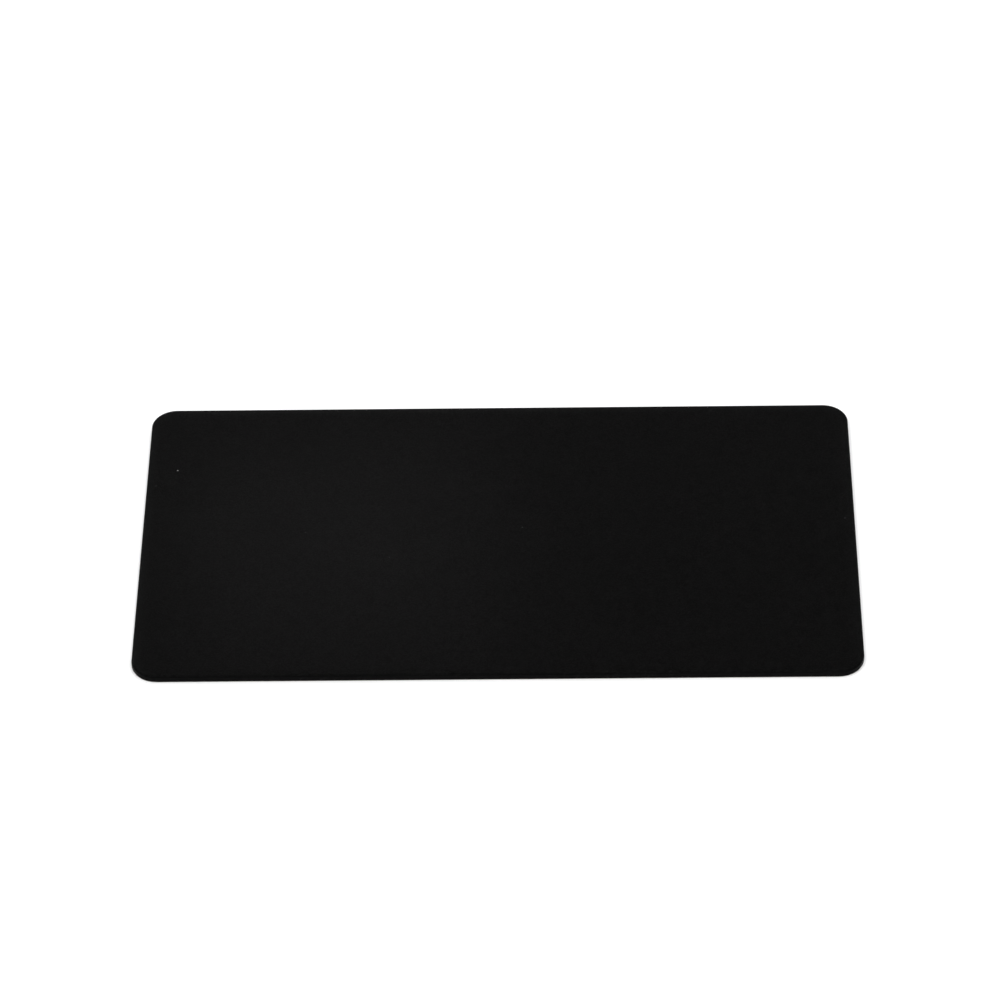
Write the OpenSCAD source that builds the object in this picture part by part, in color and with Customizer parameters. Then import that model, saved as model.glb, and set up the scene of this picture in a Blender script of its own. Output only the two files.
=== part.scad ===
// Self-adhesive kick plate: a stiff black sheet with an eased front edge, held to a door by strips of
// double-sided foam tape, each still covered by its release liner.
// Frame: X runs along the door's width, Y up the door, Z out of the door. The origin is the centre of
// the back, in the plane of the liners' outer faces.

/* [Plate] */
// Width of the plate, along X
plate_w = 355.6; // [200:0.1:900]
// Height of the plate, along Y
plate_h = 203.2; // [150:0.1:400]
// Thickness of the sheet
plate_t = 3; // [2:0.1:6]
// Radius of the four corners, seen from the front
corner_r = 12.7; // [6:0.1:20]
// Radius that eases the front edge all the way round
edge_r = 1; // [0.5:0.1:1.8]

/* [Foam tape] */
// Width of a strip of tape
tape_w = 19; // [15:0.5:25]
// Thickness of the foam
tape_t = 1; // [0.6:0.1:2]
// How far the tape stays back from the plate's outline
tape_inset = 0.5; // [0.2:0.1:3]
// Clear space between the end of an upright strip and the long strip's liner
strip_gap = 1; // [0.5:0.5:5]
// Where the inner uprights stand, as a share of half the plate's width
upright_share = 0.33; // [0.3:0.01:0.4]

/* [Release liner] */
// Thickness of the liner
liner_t = 0.1; // [0.1:0.05:0.3]
// How far the liner sticks out past the tape on its inner side, to give a finger something to lift
lift_w = 4; // [3:0.5:8]

/* [Hidden] */
$fn = 96;

plate_colour = "#171717";
foam_colour = "#2e3033";
liner_colour = "#d8d6cf";

foam_z = liner_t;                         // back of the foam
plate_z = foam_z + tape_t;                // back of the sheet
limit_w = plate_w - 2*tape_inset;         // width that the tape keeps within
limit_h = plate_h - 2*tape_inset;         // height that the tape keeps within
edge_upright_x = limit_w/2;               // outer side of the right-hand upright
inner_upright_x = upright_share*plate_w/2 + tape_w/2;    // outer side of the right inner upright
upright_h = limit_h - 2*(tape_w + lift_w + strip_gap);

// ---------- the sheet ----------

// Section of the rim. x is the distance out from a corner's centre, y the height above the sheet's back.
module rim_section() {
    square([corner_r, plate_t - edge_r]);
    square([corner_r - edge_r, plate_t]);
    translate([corner_r - edge_r, plate_t - edge_r])
        intersection() {
            circle(edge_r);
            square(edge_r);
        }
}

// A straight run of the rim, with its edge towards +X.
module rim_run(length) {
    translate([0, length/2, 0])
        rotate([90, 0, 0]) linear_extrude(length) rim_section();
}

// A quarter turn of the rim, which covers the corner between +X and +Y.
module rim_corner() {
    rotate_extrude(angle = 90) rim_section();
}

module face_plate() {
    core_w = plate_w - 2*corner_r;
    core_h = plate_h - 2*corner_r;
    color(plate_colour) translate([0, 0, plate_z]) {
        translate([-core_w/2, -core_h/2, 0]) cube([core_w, core_h, plate_t]);
        for (half_turn = [0, 180]) rotate(half_turn) {
            translate([core_w/2, 0, 0]) rim_run(core_h);
            translate([0, core_h/2, 0]) rotate(90) rim_run(core_w);
            translate([core_w/2, core_h/2, 0]) rim_corner();
            translate([-core_w/2, core_h/2, 0]) rotate(90) rim_corner();
        }
    }
}

// ---------- outlines of the strips ----------
// Each strip is drawn on the top or the right of the plate, and w is measured inwards from its outer
// side. Half a turn takes it to the bottom or the left.

// A rectangle with round corners, centred on the origin.
module rounded_rectangle(w, h, r) {
    square([w - 2*r, h], center = true);
    square([w, h - 2*r], center = true);
    for (sx = [-1, 1], sy = [-1, 1])
        translate([sx*(w/2 - r), sy*(h/2 - r)]) circle(r);
}

// The strip along the top edge, with its outer corners cut to follow the plate's.
module long_strip(w) {
    intersection() {
        rounded_rectangle(limit_w, limit_h, corner_r - tape_inset);
        translate([-limit_w/2, limit_h/2 - w]) square([limit_w, w]);
    }
}

// A strip that stands between the two long ones.
module upright_strip(outer_x, w) {
    translate([outer_x - w, -upright_h/2]) square([w, upright_h]);
}

// ---------- tape and liners ----------

module foam(half_turn = 0) {
    color(foam_colour) rotate(half_turn)
        translate([0, 0, foam_z]) linear_extrude(tape_t) children();
}

module liner(half_turn = 0) {
    color(liner_colour) rotate(half_turn) linear_extrude(liner_t) children();
}

module tape_top() { foam() long_strip(tape_w); }
module tape_bottom() { foam(180) long_strip(tape_w); }
module tape_left() { foam(180) upright_strip(edge_upright_x, tape_w); }
module tape_right() { foam() upright_strip(edge_upright_x, tape_w); }
module tape_mid_left() { foam(180) upright_strip(inner_upright_x, tape_w); }
module tape_mid_right() { foam() upright_strip(inner_upright_x, tape_w); }

module liner_top() { liner() long_strip(tape_w + lift_w); }
module liner_bottom() { liner(180) long_strip(tape_w + lift_w); }
module liner_left() { liner(180) upright_strip(edge_upright_x, tape_w + lift_w); }
module liner_right() { liner() upright_strip(edge_upright_x, tape_w + lift_w); }
module liner_mid_left() { liner(180) upright_strip(inner_upright_x, tape_w + lift_w); }
module liner_mid_right() { liner() upright_strip(inner_upright_x, tape_w + lift_w); }

face_plate();
tape_top();
tape_bottom();
tape_left();
tape_right();
tape_mid_left();
tape_mid_right();
liner_top();
liner_bottom();
liner_left();
liner_right();
liner_mid_left();
liner_mid_right();
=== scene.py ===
"""A matte black kick plate, lying face up on a pale studio floor.

The CAD frame gives every size and place. The sheet, its foam tape and its release liners are rebuilt
here with finer meshes, and each new piece stands for the CAD node of the same name.
Lengths are in metres. X runs along the plate's width, Y up its height and Z out of its face.
"""

import math

import bpy
from mathutils import Matrix, Vector, noise


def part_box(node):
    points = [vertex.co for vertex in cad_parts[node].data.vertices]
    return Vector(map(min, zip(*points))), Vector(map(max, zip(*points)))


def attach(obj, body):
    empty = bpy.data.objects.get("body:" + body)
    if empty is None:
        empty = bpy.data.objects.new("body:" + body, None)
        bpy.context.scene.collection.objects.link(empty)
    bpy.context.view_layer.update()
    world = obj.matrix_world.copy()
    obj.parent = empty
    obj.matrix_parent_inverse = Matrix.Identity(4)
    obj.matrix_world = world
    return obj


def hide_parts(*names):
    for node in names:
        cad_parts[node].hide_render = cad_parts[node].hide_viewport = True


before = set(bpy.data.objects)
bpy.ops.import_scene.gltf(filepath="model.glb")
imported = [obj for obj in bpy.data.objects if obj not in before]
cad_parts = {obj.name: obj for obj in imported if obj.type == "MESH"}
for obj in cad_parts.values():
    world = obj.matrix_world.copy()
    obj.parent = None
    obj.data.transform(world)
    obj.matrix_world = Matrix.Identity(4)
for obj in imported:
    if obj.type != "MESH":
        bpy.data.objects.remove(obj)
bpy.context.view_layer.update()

MM = 0.001
BODY = "root"
UP = Vector((0, 0, 1))

# ---------- camera ----------

CAMERA_AZIMUTH = math.radians(1.10)
CAMERA_ELEVATION = math.radians(40.40)
CAMERA_ROLL = math.radians(-1.21)
CAMERA_DISTANCE = 2.606
CAMERA_LENS = 186.4
CAMERA_AIM = Vector((0.0005, 0.03285, 0))


def add_camera():
    """Looks down on the plate from the front, with a long lens."""
    back = Vector((
        math.sin(CAMERA_AZIMUTH) * math.cos(CAMERA_ELEVATION),
        -math.cos(CAMERA_AZIMUTH) * math.cos(CAMERA_ELEVATION),
        math.sin(CAMERA_ELEVATION),
    ))
    right = Matrix.Rotation(CAMERA_ROLL, 3, back) @ UP.cross(back).normalized()
    up = back.cross(right)
    data = bpy.data.cameras.new("camera")
    data.lens = CAMERA_LENS
    camera = bpy.data.objects.new("camera", data)
    turn = Matrix((right, up, back)).transposed().to_4x4()
    camera.matrix_world = Matrix.Translation(CAMERA_AIM + back * CAMERA_DISTANCE) @ turn
    bpy.context.scene.collection.objects.link(camera)
    bpy.context.scene.camera = camera


add_camera()

# ---------- sizes, from the frame ----------

plate_low, plate_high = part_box("face_plate")
TAPE_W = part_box("tape_right")[1].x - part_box("tape_right")[0].x
TAPE_INSET = plate_high.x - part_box("tape_top")[1].x
LINER_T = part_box("liner_top")[1].z
LIFT_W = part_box("liner_right")[1].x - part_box("liner_right")[0].x - TAPE_W

# The sheet's two radii, which a box can't give, are those of the CAD design.
CORNER_R = 12.7 * MM
EDGE_R = 1.0 * MM

# ---------- materials ----------

# Most of a noise node's output lies between these two values.
NOISE_LOW = 0.3
NOISE_HIGH = 0.7

# The sockets of a Mix node that carry colours.
MIX_A = 6
MIX_B = 7
MIX_RESULT = 2


class Nodes:
    """A few short calls that build a material's node tree."""

    def __init__(self, name, **shader_values):
        self.material = bpy.data.materials.new(name)
        self.material.use_nodes = True
        self.tree = self.material.node_tree
        self.shader = self.tree.nodes["Principled BSDF"]
        for socket, value in shader_values.items():
            self.shader.inputs[socket.replace("_", " ")].default_value = value

    def add(self, kind, links=(), **settings):
        """Adds a node. Settings are its properties, or the values of its inputs."""
        node = self.tree.nodes.new(kind)
        for key, value in settings.items():
            if hasattr(node, key):
                setattr(node, key, value)
            else:
                node.inputs[key.replace("_", " ")].default_value = value
        for socket, source in links:
            self.tree.links.new(source, node.inputs[socket])
        return node

    def drive(self, socket, source):
        self.tree.links.new(source, self.shader.inputs[socket])

    def place(self):
        return self.add("ShaderNodeTexCoord").outputs["Object"]

    def noise(self, size, detail=2.0, roughness=0.5, stretch=None):
        """Noise whose features are about size across. stretch makes them longer along each axis."""
        vector = self.place()
        if stretch is not None:
            scale = [1 / s for s in stretch]
            vector = self.add("ShaderNodeMapping", [("Vector", vector)], Scale=scale).outputs["Vector"]
        node = self.add("ShaderNodeTexNoise", [("Vector", vector)], Scale=1 / size, Detail=detail,
                        Roughness=roughness)
        return node.outputs["Fac"]

    def remap(self, source, low, high, to_low, to_high):
        """Takes low to to_low and high to to_high, and goes no further at either end."""
        node = self.add("ShaderNodeMapRange", [("Value", source)])
        for index, value in enumerate((low, high, to_low, to_high), start=1):
            node.inputs[index].default_value = value
        return node.outputs["Result"]

    def spread(self, source, to_low, to_high):
        """Stretches the usual range of a noise from to_low to to_high."""
        return self.remap(source, NOISE_LOW, NOISE_HIGH, to_low, to_high)

    def multiply(self, a, b):
        return self.add("ShaderNodeMath", [(0, a), (1, b)], operation="MULTIPLY").outputs["Value"]

    def mix(self, factor, a, b):
        """A mix of two colours. Each is a tuple, or the output of a node."""
        node = self.add("ShaderNodeMix", [("Factor", factor)], data_type="RGBA")
        for index, colour in ((MIX_A, a), (MIX_B, b)):
            if isinstance(colour, tuple):
                node.inputs[index].default_value = (*colour, 1)
            else:
                self.tree.links.new(colour, node.inputs[index])
        return node.outputs[MIX_RESULT]

    def bump(self, height, distance, strength=1.0):
        node = self.add("ShaderNodeBump", [("Height", height)], Distance=distance, Strength=strength)
        self.drive("Normal", node.outputs["Normal"])


def grey(level):
    return (level, level, level)


# The larger nibs in the coat: X and Y on the plate, radius, and how pale each is.
NIBS = (
    (-162.7 * MM, 53.2 * MM, 0.36 * MM, 0.30),
    (11.9 * MM, 6.9 * MM, 0.50 * MM, 0.020),
    (172.9 * MM, 11.9 * MM, 0.50 * MM, 0.020),
    (-173.1 * MM, 41.3 * MM, 0.50 * MM, 0.012),
    (-96.3 * MM, 4.4 * MM, 0.45 * MM, 0.012),
    (-54.0 * MM, -15.1 * MM, 0.45 * MM, 0.012),
)

BEAD_SIZE = 0.45 * MM
PEBBLE_SIZE = 0.85 * MM
PEBBLE_DEPTH = 0.02 * MM
CLOUD_SIZE = 45 * MM
WEAR_AND_LIGHT_SIZE = 6 * MM

# Over the rounded edge, the beads fall to this share of their contrast on the face.
EDGE_CONTRAST = 0.35
EDGE_FADE_START = plate_high.z - 0.06 * EDGE_R
EDGE_FADE_END = plate_high.z - 0.5 * EDGE_R


def powder_coat():
    """Matte black powder coat: fine beads of slightly different tone under a faintly pebbled skin.

    The tone drifts a little over the face. It evens out round the edge. Towards the edges it is paler:
    worn at the back edge, with a painted reflection on the side wall and a painted glow on the rim.
    """
    nodes = Nodes("powder_coat", Specular_IOR_Level=0.0185)
    pebble = nodes.noise(PEBBLE_SIZE, detail=2, roughness=0.6)
    beads = nodes.add("ShaderNodeTexVoronoi", [("Vector", nodes.place())], Scale=1 / BEAD_SIZE)
    tone = nodes.add("ShaderNodeSeparateXYZ", [("Vector", beads.outputs["Color"])]).outputs["X"]
    height = nodes.add("ShaderNodeSeparateXYZ", [("Vector", nodes.place())]).outputs["Z"]
    contrast = nodes.remap(height, EDGE_FADE_END, EDGE_FADE_START, EDGE_CONTRAST, 1)
    cloud = nodes.noise(CLOUD_SIZE, detail=3)
    edge_wear_and_light = nodes.add("ShaderNodeAttribute", attribute_name="edge_wear_and_painted_light").outputs["Fac"]
    patchy_wear_and_light = nodes.multiply(edge_wear_and_light, nodes.spread(nodes.noise(WEAR_AND_LIGHT_SIZE, detail=4), 0.7, 1))

    coat = nodes.mix(nodes.remap(tone, 0.3, 0.7, 0, 1), grey(0.0001), grey(0.0033))
    coat = nodes.mix(contrast, grey(0.0015), coat)
    coat = nodes.mix(nodes.spread(cloud, 0, 0.2), coat, grey(0.0012))
    # Painted light and wear: paler where the edge attribute is high, with wear at the back edge, a
    # painted reflection on the side wall and a painted glow round the rim.
    coat = nodes.mix(nodes.remap(patchy_wear_and_light, 0, 1, 0, 0.8), coat, grey(0.0062))
    for x, y, radius, paleness in NIBS:
        middle = nodes.add("ShaderNodeVectorMath", [(0, nodes.place())], operation="DISTANCE")
        middle.inputs[1].default_value = (x, y, plate_high.z)
        nib = nodes.remap(middle.outputs["Value"], 0.7 * radius, radius, 1, 0)
        coat = nodes.mix(nib, coat, grey(paleness))
    nodes.drive("Base Color", coat)

    nodes.drive("Roughness", nodes.spread(cloud, 0.31, 0.33))
    nodes.bump(pebble, PEBBLE_DEPTH, 0.6)
    return nodes.material


CELL_SIZE = 0.22 * MM
CELL_DEPTH = 0.06 * MM
PATCH_SIZE = 3 * MM


def foam_rubber():
    """Closed-cell foam cut with a blade: tiny cells, and dusty grey where they are open."""
    nodes = Nodes("foam_tape", Specular_IOR_Level=0.08)
    cells = nodes.add("ShaderNodeTexVoronoi", [("Vector", nodes.place())], Scale=1 / CELL_SIZE)
    cell = nodes.remap(cells.outputs["Distance"], 0.0, 0.8, 0, 1)
    patch = nodes.noise(PATCH_SIZE, detail=4)
    colour = nodes.mix(cell, grey(0.003), grey(0.008))
    colour = nodes.mix(nodes.remap(patch, 0.35, 0.7, 0, 0.5), colour, grey(0.010))
    nodes.drive("Base Color", colour)
    nodes.drive("Roughness", nodes.spread(patch, 0.8, 0.95))
    nodes.bump(cell, CELL_DEPTH, 0.8)
    return nodes.material


FIBRE_SIZE = 0.5 * MM
FIBRE_DEPTH = 0.012 * MM
MOTTLE_SIZE = 4 * MM


def liner_paper():
    """Off-white siliconised paper: long fibres, faint mottling and a waxy shine."""
    nodes = Nodes("release_liner", Specular_IOR_Level=0.5, Coat_Weight=0.25, Coat_Roughness=0.35)
    fibre = nodes.noise(FIBRE_SIZE, detail=5, roughness=0.65, stretch=(6, 1, 1))
    mottle = nodes.noise(MOTTLE_SIZE, detail=4)
    colour = nodes.mix(nodes.spread(fibre, 0, 1), (0.66, 0.65, 0.61), (0.76, 0.75, 0.71))
    colour = nodes.mix(nodes.remap(mottle, 0.35, 0.7, 0, 0.4), colour, (0.70, 0.68, 0.63))
    nodes.drive("Base Color", colour)
    nodes.drive("Roughness", nodes.spread(mottle, 0.42, 0.58))
    nodes.bump(fibre, FIBRE_DEPTH, 0.5)
    return nodes.material


# ---------- shapes ----------

SHARP_ANGLE = math.radians(50)


def add_piece(name, points, faces, material, normals=None):
    """A new piece that stands for the CAD node of the same name."""
    mesh = bpy.data.meshes.new(name + "_fine")
    mesh.from_pydata([tuple(p) for p in points], [], faces)
    mesh.materials.append(material)
    mesh.validate()
    mesh.shade_smooth()
    if normals is not None:
        mesh.normals_split_custom_set_from_vertices([tuple(n) for n in normals])
    piece = bpy.data.objects.new(name + "_fine", mesh)
    bpy.context.scene.collection.objects.link(piece)
    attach(piece, BODY)
    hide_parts(name)
    return piece


def rounded_outline(low, high, radii, steps):
    """(point, outward normal) round a rectangle, anticlockwise from the high-Y end of its right side.

    radii holds one radius for each corner, anticlockwise from the corner between +X and +Y.
    steps is the number of stretches that each corner is drawn with.
    """
    corners = (
        (high.x, high.y, -1, -1),
        (low.x, high.y, 1, -1),
        (low.x, low.y, 1, 1),
        (high.x, low.y, -1, 1),
    )
    outline = []
    for quarter, ((x, y, inward_x, inward_y), radius) in enumerate(zip(corners, radii)):
        centre = Vector((x + inward_x * radius, y + inward_y * radius, 0))
        for step in range(steps + 1):
            angle = (quarter + step / steps) * math.pi / 2
            normal = Vector((math.cos(angle), math.sin(angle), 0))
            outline.append((centre + radius * normal, normal))
    return outline


def bridge_rings(ring_count, ring_size):
    """Faces that join rings of points from the lowest up, and close the stack below and above."""
    faces = [tuple(reversed(range(ring_size)))]
    for ring in range(ring_count - 1):
        for i in range(ring_size):
            j = (i + 1) % ring_size
            a, b = ring * ring_size, (ring + 1) * ring_size
            faces.append((a + i, a + j, b + j, b + i))
    faces.append(tuple((ring_count - 1) * ring_size + i for i in range(ring_size)))
    return faces


CORNER_STEPS = 24
BACK_STEPS = 3
EDGE_STEPS = 10
RIM_STEPS = 6
BACK_BREAK = 0.15 * MM
RIM_W = 6 * MM
RIM_TILT = math.radians(1.5)

# How much paler the coat is at the back edge (wear), on the side wall (painted reflection of the bright
# floor) and on the rim of the face (painted glow). On the rim it is the middle value, less the second
# towards +X and plus the third towards +Y, so the painted glow is strongest along the top edge.
BACK_SCUFF = 0.1
SIDE_PAINTED_REFLECTION = 0.45
RIM_PAINTED_GLOW = 0.5
RIM_PAINTED_GLOW_X = 0.15
RIM_PAINTED_GLOW_Y = 0.45


def sheet_profile():
    """Each ring of the sheet, from the back to the face.

    A ring is (inset, height, tilt of the normal, wear and painted reflection on the side, painted glow
    on the rim).
    """
    profile = []
    for step in range(BACK_STEPS + 1):
        tilt = (step / BACK_STEPS - 1) * math.pi / 2
        inset = BACK_BREAK * (1 - math.cos(tilt))
        profile.append((inset, plate_low.z + BACK_BREAK * (1 + math.sin(tilt)), tilt, BACK_SCUFF, 0))
    full_tilt = math.pi / 2 - RIM_TILT
    # The rim's slope dies away with the square of the distance, so it drops a third of a straight slope.
    drop = RIM_W * RIM_TILT / 3
    for step in range(EDGE_STEPS + 1):
        tilt = step / EDGE_STEPS * full_tilt
        inset = EDGE_R * (1 - math.cos(tilt))
        height = plate_high.z - drop - EDGE_R * (1 - math.sin(tilt))
        # The lowest ring of the round, at the top of the side wall, takes the painted reflection. The
        # round takes the painted rim glow.
        profile.append((inset, height, tilt, SIDE_PAINTED_REFLECTION if step == 0 else 0, math.sin(tilt) ** 4))
    for step in range(1, RIM_STEPS + 1):
        left = 1 - step / RIM_STEPS
        inset = EDGE_R + RIM_W * (1 - left)
        height = plate_high.z - drop * left**3
        profile.append((inset, height, math.pi / 2 - RIM_TILT * left**2, 0, left**2))
    return profile


def add_sheet(material):
    """The sheet. Its face rolls off a little before the rounded edge, and its back edge is just broken.

    The rim of the face is painted paler as a painted glow, strongest along the top edge and hardly there
    at all along the bottom one.
    """
    points, normals, wear_and_light_per_point = [], [], []
    profile = sheet_profile()
    for inset, height, tilt, scuff_and_painted_wall_light, painted_rim_glow in profile:
        edge = Vector((inset, inset, 0))
        radii = [CORNER_R - inset] * 4
        outline = rounded_outline(plate_low + edge, plate_high - edge, radii, CORNER_STEPS)
        for point, outward in outline:
            points.append(Vector((point.x, point.y, height)))
            normals.append(outward * math.cos(tilt) + UP * math.sin(tilt))
            # Painted light on the edge: the rim's painted glow, strongest along the top edge and weakest
            # along the bottom, adds to the side wall's painted reflection and the back edge's wear.
            wear_and_light_per_point.append(scuff_and_painted_wall_light + painted_rim_glow * (RIM_PAINTED_GLOW - RIM_PAINTED_GLOW_X * outward.x + RIM_PAINTED_GLOW_Y * outward.y))
    faces = bridge_rings(len(profile), len(outline))
    piece = add_piece("face_plate", points, faces, material, normals)
    attribute = piece.data.attributes.new("edge_wear_and_painted_light", "FLOAT", "POINT")
    attribute.data.foreach_set("value", wear_and_light_per_point)


FOAM_PITCH = 1.5 * MM
FOAM_CORNER_STEPS = 8
FOAM_RINGS = 7
FOAM_BULGE = 0.08 * MM
FOAM_RAGGED = 0.05 * MM
FOAM_RAGGED_SIZE = 2 * MM
SAME_PLACE = 1e-7


def densify(outline, pitch):
    """Adds points to an outline's straight stretches, so that none is longer than pitch."""
    dense = []
    for i, (point, normal) in enumerate(outline):
        after, _ = outline[(i + 1) % len(outline)]
        gap = after - point
        if gap.length < SAME_PLACE:
            continue
        count = max(1, math.ceil(gap.length / pitch))
        side = Vector((gap.y, -gap.x, 0)).normalized()
        dense.append((point, normal))
        dense.extend((point + gap * k / count, side) for k in range(1, count))
    return dense


def add_foam(name, material, radii):
    """One strip of foam tape, whose cut sides swell a little and wander with the blade."""
    low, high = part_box(name)
    outline = densify(rounded_outline(low, high, radii, FOAM_CORNER_STEPS), FOAM_PITCH)
    points = []
    for ring in range(FOAM_RINGS):
        share = ring / (FOAM_RINGS - 1)
        height = low.z + share * (high.z - low.z)
        swell = FOAM_BULGE * math.sin(share * math.pi)
        for point, outward in outline:
            place = Vector((point.x, point.y, height))
            ragged = FOAM_RAGGED * noise.noise(place / FOAM_RAGGED_SIZE)
            points.append(place + outward * (swell + ragged - FOAM_RAGGED))
    piece = add_piece(name, points, bridge_rings(FOAM_RINGS, len(outline)), material)
    piece.data.set_sharp_from_angle(angle=SHARP_ANGLE)


LINER_PITCH = 2.5 * MM
LINER_CORNER_ROWS = 10
LINER_MIDDLE_ROWS = 4
LINER_LIFT_ROWS = 8
LINER_CURL = 0.55 * MM
RIPPLE_SIZE = 22 * MM
RIPPLE_MEAN = 0.75
RIPPLE_SWING = 0.6


def liner_rows(radius):
    """Distances of the rows from the liner's outer side. They are close together round a corner."""
    rows = [0]
    if radius:
        turns = [k / LINER_CORNER_ROWS * math.pi / 2 for k in range(LINER_CORNER_ROWS)]
        rows = [radius * (1 - math.cos(turn)) for turn in turns]
    rows += [radius + (TAPE_W - radius) * k / LINER_MIDDLE_ROWS for k in range(LINER_MIDDLE_ROWS)]
    rows += [TAPE_W + LIFT_W * k / LINER_LIFT_ROWS for k in range(LINER_LIFT_ROWS + 1)]
    return sorted({round(d, 7) for d in rows})


def liner_faces(rows, columns):
    """Faces of a closed liner: a grid of points below, the same grid above, and a wall round the two."""
    above = rows * columns
    faces = []
    for r in range(rows - 1):
        for c in range(columns - 1):
            i = r * columns + c
            square = (i, i + columns, i + columns + 1, i + 1)
            faces += [square, tuple(above + k for k in reversed(square))]
    rim = list(range(columns))
    rim += [r * columns + columns - 1 for r in range(1, rows)]
    rim += [(rows - 1) * columns + c for c in range(columns - 2, -1, -1)]
    rim += [r * columns for r in range(rows - 2, 0, -1)]
    for i, a in enumerate(rim):
        b = rim[(i + 1) % len(rim)]
        faces.append((a, b, above + b, above + a))
    return faces


def add_liner(name, material, radius, outward):
    """One release liner. The edge that sticks out past the tape lifts and ripples a little.

    outward is the direction from the middle of the plate to the strip's outer side.
    """
    low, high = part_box(name)
    centre = (low + high) / 2
    along = UP.cross(outward)
    size = high - low
    half_length = abs(size.dot(along)) / 2
    width = abs(size.dot(outward))
    columns = math.ceil(2 * half_length / LINER_PITCH)
    rows = liner_rows(radius)
    points = []
    for d in rows:
        cut = radius - math.sqrt(max(0, radius**2 - (radius - d) ** 2)) if d < radius else 0
        lift = max(0, (d - TAPE_W) / LIFT_W)
        for c in range(columns + 1):
            run = (2 * c / columns - 1) * (half_length - cut)
            place = centre + along * run + outward * (width / 2 - d)
            ripple = RIPPLE_MEAN + RIPPLE_SWING * noise.noise(place / RIPPLE_SIZE)
            points.append(Vector((place.x, place.y, low.z + LINER_CURL * ripple * lift**2)))
    points += [p + LINER_T * UP for p in points]
    piece = add_piece(name, points, liner_faces(len(rows), columns + 1), material)
    piece.data.set_sharp_from_angle(angle=SHARP_ANGLE)


def add_strips(foam, paper):
    """The two long strips and the four uprights, each with its liner."""
    strip_r = CORNER_R - TAPE_INSET
    x_axis = Vector((1, 0, 0))
    y_axis = Vector((0, 1, 0))
    add_foam("tape_top", foam, (strip_r, strip_r, 0, 0))
    add_foam("tape_bottom", foam, (0, 0, strip_r, strip_r))
    add_liner("liner_top", paper, strip_r, y_axis)
    add_liner("liner_bottom", paper, strip_r, -y_axis)
    for side, outward in (("left", -x_axis), ("right", x_axis)):
        for place in ("", "mid_"):
            add_foam("tape_" + place + side, foam, (0, 0, 0, 0))
            add_liner("liner_" + place + side, paper, 0, outward)


foam = foam_rubber()
paper = liner_paper()
add_sheet(powder_coat())
add_strips(foam, paper)

# ---------- studio ----------

FLOOR_R = 4.0
FLOOR_RINGS = 8
FLOOR_SPOKES = 96
SWEEP_R = 1.0
SWEEP_STEPS = 12
WALL_H = 3.0
FLOOR_GAP = 0.02 * MM
FLOOR_LEVEL = 0.95
WORLD_LEVEL = 0.92


def floor_paint():
    """Flat pale paint, with almost no shine."""
    colour = (*grey(FLOOR_LEVEL), 1)
    return Nodes("studio_floor", Base_Color=colour, Roughness=0.9, Specular_IOR_Level=0.1).material


def floor_mesh():
    """A round floor that sweeps up into a wall all the way round."""
    sweep = [(k / SWEEP_STEPS) * math.pi / 2 for k in range(SWEEP_STEPS + 1)]
    profile = [(FLOOR_R * k / FLOOR_RINGS, 0) for k in range(1, FLOOR_RINGS)]
    profile += [(FLOOR_R + SWEEP_R * math.sin(t), SWEEP_R * (1 - math.cos(t))) for t in sweep]
    profile.append((FLOOR_R + SWEEP_R, WALL_H))
    count = FLOOR_SPOKES
    points = [(0, 0, 0)]
    for radius, height in profile:
        for k in range(count):
            angle = 2 * math.pi * k / count
            points.append((radius * math.cos(angle), radius * math.sin(angle), height))
    faces = [(0, 1 + k, 1 + (k + 1) % count) for k in range(count)]
    for ring in range(len(profile) - 1):
        a, b = 1 + ring * count, 1 + (ring + 1) * count
        faces += [(a + k, b + k, b + (k + 1) % count, a + (k + 1) % count) for k in range(count)]
    mesh = bpy.data.meshes.new("studio_floor")
    mesh.from_pydata(points, [], faces)
    mesh.shade_smooth()
    return mesh


def add_floor():
    """The floor lies just below the liners, so that the two never share a plane."""
    mesh = floor_mesh()
    mesh.materials.append(floor_paint())
    floor = bpy.data.objects.new("studio_floor", mesh)
    floor.location.z = -FLOOR_GAP
    bpy.context.scene.collection.objects.link(floor)


def add_softbox(name, place, aim, width, height, power):
    """A rectangular area light at place that faces aim."""
    data = bpy.data.lights.new(name, "AREA")
    data.shape = "RECTANGLE"
    data.size = width
    data.size_y = height
    data.energy = power
    light = bpy.data.objects.new(name, data)
    light.location = place
    light.rotation_euler = (Vector(aim) - Vector(place)).to_track_quat("-Z", "Y").to_euler()
    bpy.context.scene.collection.objects.link(light)


def set_world(level):
    """Even light from all round, at one grey level."""
    world = bpy.data.worlds.new("studio")
    world.use_nodes = True
    world.node_tree.nodes["Background"].inputs["Color"].default_value = (*grey(level), 1)
    bpy.context.scene.world = world


add_floor()
set_world(WORLD_LEVEL)
add_softbox("front", place=(0, -1.3, 2.6), aim=(0, 0, 0), width=3.2, height=2.0, power=52)
add_softbox("back_left", place=(-0.105, 0.345, 0.30), aim=(-0.085, 0, 0), width=0.18, height=0.05,
            power=0.12)
bpy.context.scene.view_settings.view_transform = "Standard"
